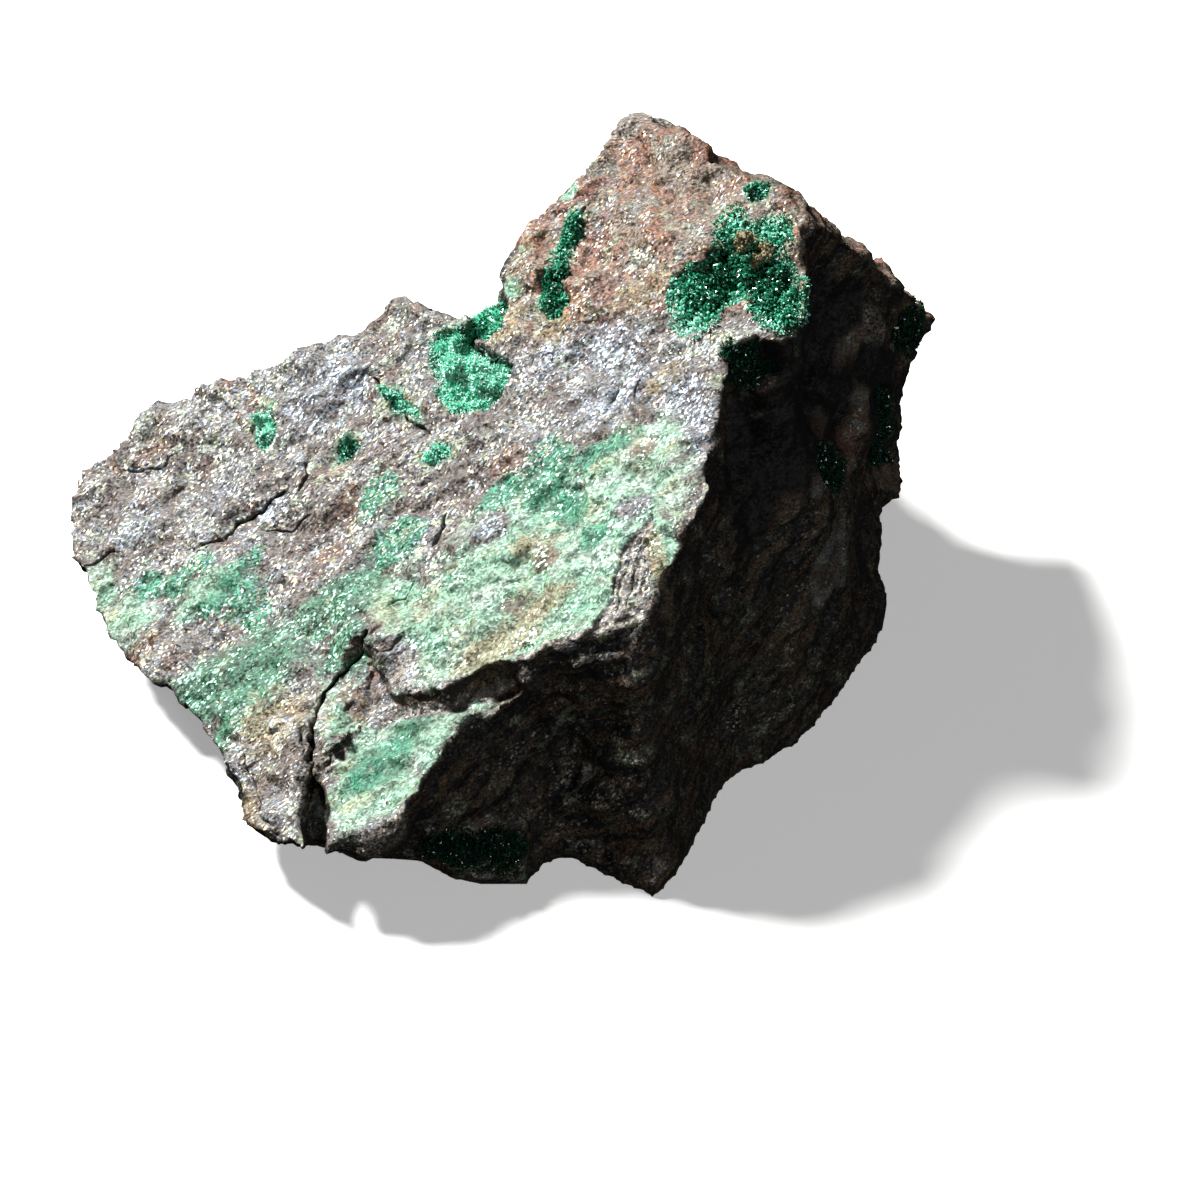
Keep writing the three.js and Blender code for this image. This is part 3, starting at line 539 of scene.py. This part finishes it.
    # Relief finer than the mesh: specks and small lumps, and each grain's face leans its own way.
    fine_bump = node(tree, "Bump", {"Height": speckle, "Strength": 0.9, "Distance": 0.1 * MM})
    bump = node(tree, "Bump", {"Height": mottle, "Strength": 0.7, "Distance": 0.2 * MM, "Normal": fine_bump})
    centred = node(tree, "VectorMath", {0: grains, 1: (0.5, 0.5, 0.5)}, operation="SUBTRACT")
    calm = node(tree, "Math", {0: painted["mint"], 1: -0.3, 2: 0.72}, operation="MULTIPLY_ADD")
    lean = node(tree, "VectorMath", {0: centred, "Scale": calm}, operation="SCALE")
    facet = node(tree, "VectorMath", {0: bump, 1: lean}, operation="ADD")
    facet = node(tree, "VectorMath", {0: facet}, operation="NORMALIZE")
    metallic = node(tree, "Math", {0: flake, 1: 0.8}, operation="MULTIPLY")
    polish = node(tree, "Math", {0: flake, 1: -0.16, 2: 0.62}, operation="MULTIPLY_ADD")
    shader = node(tree, "BsdfPrincipled", {"Base Color": body, "Metallic": metallic, "Roughness": polish,
                                           "Normal": facet, "IOR": 1.55})
    node(tree, "OutputMaterial", {"Surface": shader})
    return material


rock.data.materials.clear()
rock.data.materials.append(mica_schist())
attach(rock, "root")
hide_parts("host_rock")

# ---- Crystals of the large hollow ----
# Brochantite: emerald prisms with slanted tips, half a millimetre to a millimetre long, grown in sprays
# from a bed of smaller ones. A lump of stained rock stands in the middle, with two holes in it.

BED_CELL = 0.35                                       # mm, size of a surface cell of the bed
CELLS_KEPT = 0.65                                     # share of the rock's cells left after merging

# The crystals grow on the rock's full surface, which is noted here. Then the rock's cells are merged where
# it is most even.
rock_places = rows(rock.data.vertices, "co") / MM
rock.data.calc_loop_triangles()
rock_triangles = np.array([triangle.vertices[:] for triangle in rock.data.loop_triangles])
rock.modifiers.new("merge", "DECIMATE").ratio = CELLS_KEPT
apply_modifiers(rock)


def brochantite():
    """Brochantite crystals: glassy emerald, painted darker at the roots and on the bed as shade and paler at
    the tips as highlight, and rock between them.
    """
    material, tree = blank_material("brochantite_crystals")
    tone = node(tree, "Attribute", attribute_name="tone").outputs["Fac"]
    emerald = node(tree, "ValToRGB", {0: tone})
    stops = emerald.color_ramp.elements
    stops[0].color = linear("#01170f")
    stops[1].color = linear("#cdf3e6")
    for position, code in ((0.22, "#0a5a3e"), (0.45, "#2a8f68"), (0.7, "#66c8a8")):
        stops.new(position).color = linear(code)
    stone = node(tree, "Attribute", attribute_name="stone").outputs["Fac"]
    place = node(tree, "TexCoord").outputs["Object"]
    grit = node(tree, "TexNoise", {"Vector": place, "Scale": 1 / (0.5 * MM), "Detail": 4.0})
    ochre = tinted(tree, "#2e2416", "#94804f", grit, 0.35, 0.65)
    colour = node(tree, "Mix", {0: stone, 6: emerald, 7: ochre}, data_type="RGBA")
    polish = node(tree, "Math", {0: stone, 1: 0.5, 2: 0.18}, operation="MULTIPLY_ADD")
    shader = node(tree, "BsdfPrincipled", {"Base Color": colour, "Roughness": polish, "IOR": 1.73})
    node(tree, "OutputMaterial", {"Surface": shader})
    return material


brochantite_material = brochantite()


def prism(width, length):
    """A crystal's corners and faces: a flattened six-sided prism with a slanted ridge for a tip."""
    ring = [(1, 0), (0.5, 0.6), (-0.5, 0.6), (-1, 0), (-0.5, -0.6), (0.5, -0.6)]
    corners = [(width / 2 * x, width / 2 * y, 0) for x, y in ring]
    corners += [(width / 2 * x, width / 2 * y, length * 0.8) for x, y in ring]
    corners += [(width * 0.22, 0, length), (-width * 0.22, 0, length)]
    faces = [(i, (i + 1) % 6, 6 + (i + 1) % 6, 6 + i) for i in range(6)]
    faces += [(6, 7, 12), (7, 8, 13, 12), (8, 9, 13), (9, 10, 13), (10, 11, 12, 13), (11, 6, 12)]
    return np.array(corners), faces


def patched(spots, patches, wobble):
    """The highest of the patches at each spot. Each patch is a place on the plan, a size and a value."""
    value = np.zeros(len(spots))
    for x, y, size, strength in patches:
        reach = np.hypot(spots[:, 0] - x, spots[:, 1] - y) + wobble
        share = strength * (1 - ramp(0.3 * size, size, reach))
        value = np.where(np.abs(share) > np.abs(value), share, value)
    return value


def scattered(ground, spacing, rng):
    """Places spread evenly over the ground's triangles, at that spacing in mm: for each, its triangle, where
    it lies, and which way is out of the ground there."""
    a, b, c = ground[:, 0], ground[:, 1], ground[:, 2]
    cross = np.cross(b - a, c - a)
    area = np.linalg.norm(cross, axis=1) / 2
    outward = cross / (2 * area[:, None] + 1e-12)
    count = int(area.sum() / spacing ** 2)
    pick = rng.choice(len(ground), count, p=area / area.sum())
    share = rng.random((count, 2))
    share = np.where(share.sum(1, keepdims=True) > 1, 1 - share, share)
    feet = a[pick] + share[:, :1] * (b - a)[pick] + share[:, 1:] * (c - a)[pick]
    return pick, feet, outward[pick]


def druse(crust, tone, seed, climb=1.2, lift=0.1, width=0.25, length=0.6, spacing=0.25,
          shades=(), lumps=(), pits=()):
    """The crystals of one hollow as one piece, which stands for the node's solid. They grow from its bed,
    lifted by that many mm, at that spacing, and climb that far up the rock around it. Patches make them
    paler, or darker as painted shade (shades), let a lump of rock stand up (lumps), or make the bed deeper
    (pits)."""
    bed = fine_copy(crust, crust.replace("crust", "druse"), BED_CELL)
    places = rows(bed.data.vertices, "co") / MM
    normals = rows(bed.data.vertex_normals, "vector")
    swell = 0.8 * roughness(places, (2.4, 2.4, 2.4), seed) + 0.5 * roughness(places, (1, 1, 1), seed + 1)
    spots = places[:, :2] - np.array(plan)
    lump = patched(spots, lumps, 0.6 * swell)
    pit = patched(spots, pits, 0.4 * swell)
    stone = ramp(0.1, 0.35, lump) * (1 - ramp(0.3, 0.7, pit))
    put_back(bed, shifted(places) + normals * (swell + lump - pit + lift)[:, None])
    bed.data.calc_loop_triangles()
    corners = rows(bed.data.vertices, "co") / MM
    triangles = np.array([triangle.vertices[:] for triangle in bed.data.loop_triangles])

    # The ground: the bed's own triangles and those of the rock beside it.
    beside = (next_crust[rock_triangles] == crust).all(1) & (from_crust[rock_triangles] < climb).all(1)
    ground = np.concatenate([corners[triangles], rock_places[rock_triangles[beside]]])
    height = np.concatenate([np.zeros(len(triangles)), from_crust[rock_triangles[beside]].mean(1) / climb])
    stony = np.concatenate([stone[triangles].mean(1), np.zeros(beside.sum())])

    # Where the crystals stand, and which way they grow: out of the ground, and leaning together in sprays.
    rng = np.random.default_rng(seed)
    pick, feet, outward = scattered(ground, spacing, rng)
    shade = patched(feet[:, :2] - np.array(plan), shades, 0)
    spray = np.stack([roughness(feet, (1.6, 1.6, 1.6), seed + 2 + axis) for axis in range(3)], 1)
    ups = outward + 1.1 * spray + rng.normal(0, 0.3, feet.shape)

    # The mesh: the bed's own surface, and a prism on each foot with its root in the ground.
    play = min(0.2, tone / 2)                             # how much the crystals differ in tone
    vertices = [corners]
    polygons = [tuple(face.vertices) for face in bed.data.polygons]
    # The bed is painted darker than the crystals on it, as shade.
    tones = [np.full(len(corners), 0.6 * tone ** 2)]
    stones = [stone]
    start = len(corners)
    for foot, up, edge, hard, change in zip(feet, ups, height[pick], stony[pick], shade):
        small = (1 - 0.45 * edge) * (1 - 0.5 * hard)
        wide = width * (1 - 0.45 * edge) * rng.uniform(0.6, 1.4)
        tall = length * small * rng.uniform(0.5, 1.5)
        shape, sides = prism(wide, tall)
        direction = Vector(up).normalized()
        spin = Matrix.Rotation(rng.uniform(0, math.tau), 3, "Z")
        turned = direction.to_track_quat("Z", "Y").to_matrix() @ spin
        vertices.append(shape @ np.array(turned).T + foot - 0.25 * tall * np.array(direction))
        polygons += [tuple(start + i for i in side) for side in sides]
        start += len(shape)
        value = np.clip(tone + change + play * (edge + rng.normal()), 0, 1)
        # Each crystal is painted darker at its root, as shade, and paler at its tip, as a highlight.
        tones.append(np.array([value * tone] * 6 + [value * 0.9] * 6 + [min(1, value + play)] * 2))
        stones.append(np.full(len(shape), hard))
    mesh = bpy.data.meshes.new(bed.name)
    mesh.from_pydata((np.concatenate(vertices) * MM).tolist(), [], polygons)
    mesh.materials.append(brochantite_material)
    bed.data = mesh
    paint(bed, {"tone": np.concatenate(tones), "stone": np.concatenate(stones)})
    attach(bed, "root")
    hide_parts(crust)


# Paler patches are frosted crystals; the darker ones are painted shade in the deep middle and right of the
# hollow.
druse("vug_crust", 0.41, 31, climb=1.6, lift=0.2, width=0.27, spacing=0.28,
      shades=[(20.2, -14.6, 2.6, 0.6), (22.7, -16.5, 2.2, 0.6), (18, -12, 2.4, 0.45), (25.3, -4.8, 2.6, 0.4),
              (28.6, -6.5, 2.6, 0.35), (28.5, -18, 2, 0.35), (23, -9.3, 3, -0.3), (28.5, -12, 3.2, -0.28)],
      lumps=[(27.2, -9, 1.9, 0.6), (26, -7.2, 1.3, 0.5)],
      pits=[(26.4, -8.2, 1, 1.4), (28.2, -10.4, 1.3, 1.8), (23.3, -7.4, 1.3, 1.4), (24.1, -10.9, 1.4, 1.4),
            (22.6, -10.6, 1.1, 1.2)])

# ---- Crystals of the saddle, the cleft and the slit ----
# The same mineral: pale and felted in the saddle with a dark hole at its top, painted darker as shade, and
# deep green in the cleft.

druse("saddle_crust", 0.92, 32, lift=0.3, length=0.42, width=0.17,
      shades=[(-2.4, -5.4, 2.8, -0.75), (0.3, -4.3, 2.2, -0.6), (-6, -4, 2.4, -0.35)],
      pits=[(-2.2, -5.6, 2, 1.6)])
druse("cleft_crust", 0.42, 33, climb=0.7, length=0.5, width=0.24,
      shades=[(5.2, -7.6, 1.8, 0.35), (4.4, -5.5, 1.2, 0.3), (8, -4.5, 1.2, 0.3), (5.6, -4, 1.6, -0.25)])
druse("streak_crust", 0.66, 34, climb=0.5, length=0.45, width=0.24)

# ---- Crystals of the small pockets ----
# Little nests of finer crystals on the parting face.

for number, tone in ((1, 0.9), (2, 0.45), (3, 0.85), (4, 0.4)):
    druse(f"pocket_crust_{number}", tone, 40 + number, climb=0.5, length=0.45, width=0.22)

# ---- Crystals of the shaded sides ----
# Thicker crusts on the fin, in the pit of the right wall and under the front edge, painted near black as
# shade by their low tone.

for number, side in enumerate(("edge", "fin", "flank", "wall", "foot")):
    druse(f"{side}_crust", 0.06, 50 + number)

# ---- Studio ----
# A plain pale floor, one soft lamp from behind on the left and a weak fill. The camera looks down at 45
# degrees from the front, and aims to the right of the specimen and below it.

FLOOR_REACH = 3.0                                     # m
LAMP_DISTANCE = 1.4                                   # m
CAMERA_DISTANCE = 0.9                                 # m
VIEW_REACH = 0.063                                    # m, from the middle of the view to its side
CAMERA_AIM = Vector((10.7, -12.29, -9.43))            # mm from the middle of the rock's solid
floor_mesh = bpy.data.meshes.new("floor")
floor_corners = [(-FLOOR_REACH, -FLOOR_REACH, 0), (FLOOR_REACH, -FLOOR_REACH, 0),
                 (FLOOR_REACH, FLOOR_REACH, 0), (-FLOOR_REACH, FLOOR_REACH, 0)]
floor_mesh.from_pydata(floor_corners, [], [(0, 1, 2, 3)])
floor = bpy.data.objects.new("floor", floor_mesh)
bpy.context.scene.collection.objects.link(floor)
floor.location.z = solid_low.z - 0.02 * MM
floor.visible_diffuse = False
floor.visible_glossy = False


def matt_paper():
    """Pale matt paper that glows faintly, so that shadows on it stay soft."""
    material, tree = blank_material("matt_paper")
    shader = node(tree, "BsdfPrincipled", {"Base Color": "#e9e9e7", "Roughness": 0.9,
                                           "Emission Color": "#ffffff", "Emission Strength": 0.35})
    node(tree, "OutputMaterial", {"Surface": shader})
    return material


floor_mesh.materials.append(matt_paper())


def lamp(name, direction, size, power):
    """A round soft lamp that looks at the middle of the specimen from that direction."""
    light = bpy.data.lights.new(name, "AREA")
    light.shape = "DISK"
    light.size = size
    light.energy = power
    made = bpy.data.objects.new(name, light)
    bpy.context.scene.collection.objects.link(made)
    made.location = middle + Vector(direction).normalized() * LAMP_DISTANCE
    made.rotation_euler = Vector(direction).to_track_quat("Z", "Y").to_euler()


lamp("key_lamp", (-0.56, 0.47, 0.76), 0.26, 64)
lamp("fill_lamp", (0.3, -0.75, 0.55), 0.3, 2.9)
world = bpy.data.worlds.new("studio")
world.use_nodes = True
sky = world.node_tree.nodes["Background"].inputs
sky["Color"].default_value = (0.95, 0.97, 1.0, 1)
sky["Strength"].default_value = 0.03
bpy.context.scene.world = world
bpy.context.scene.view_settings.view_transform = "Standard"

camera_data = bpy.data.cameras.new("camera")
camera = bpy.data.objects.new("camera", camera_data)
bpy.context.scene.collection.objects.link(camera)
aim = middle + CAMERA_AIM * MM
view_from = Vector((0, -1, 1)).normalized()
camera.location = aim + view_from * CAMERA_DISTANCE
camera.rotation_euler = view_from.to_track_quat("Z", "Y").to_euler()
camera_data.angle = 2 * math.atan(VIEW_REACH / CAMERA_DISTANCE)
camera_data.clip_end = 20
bpy.context.scene.camera = camera
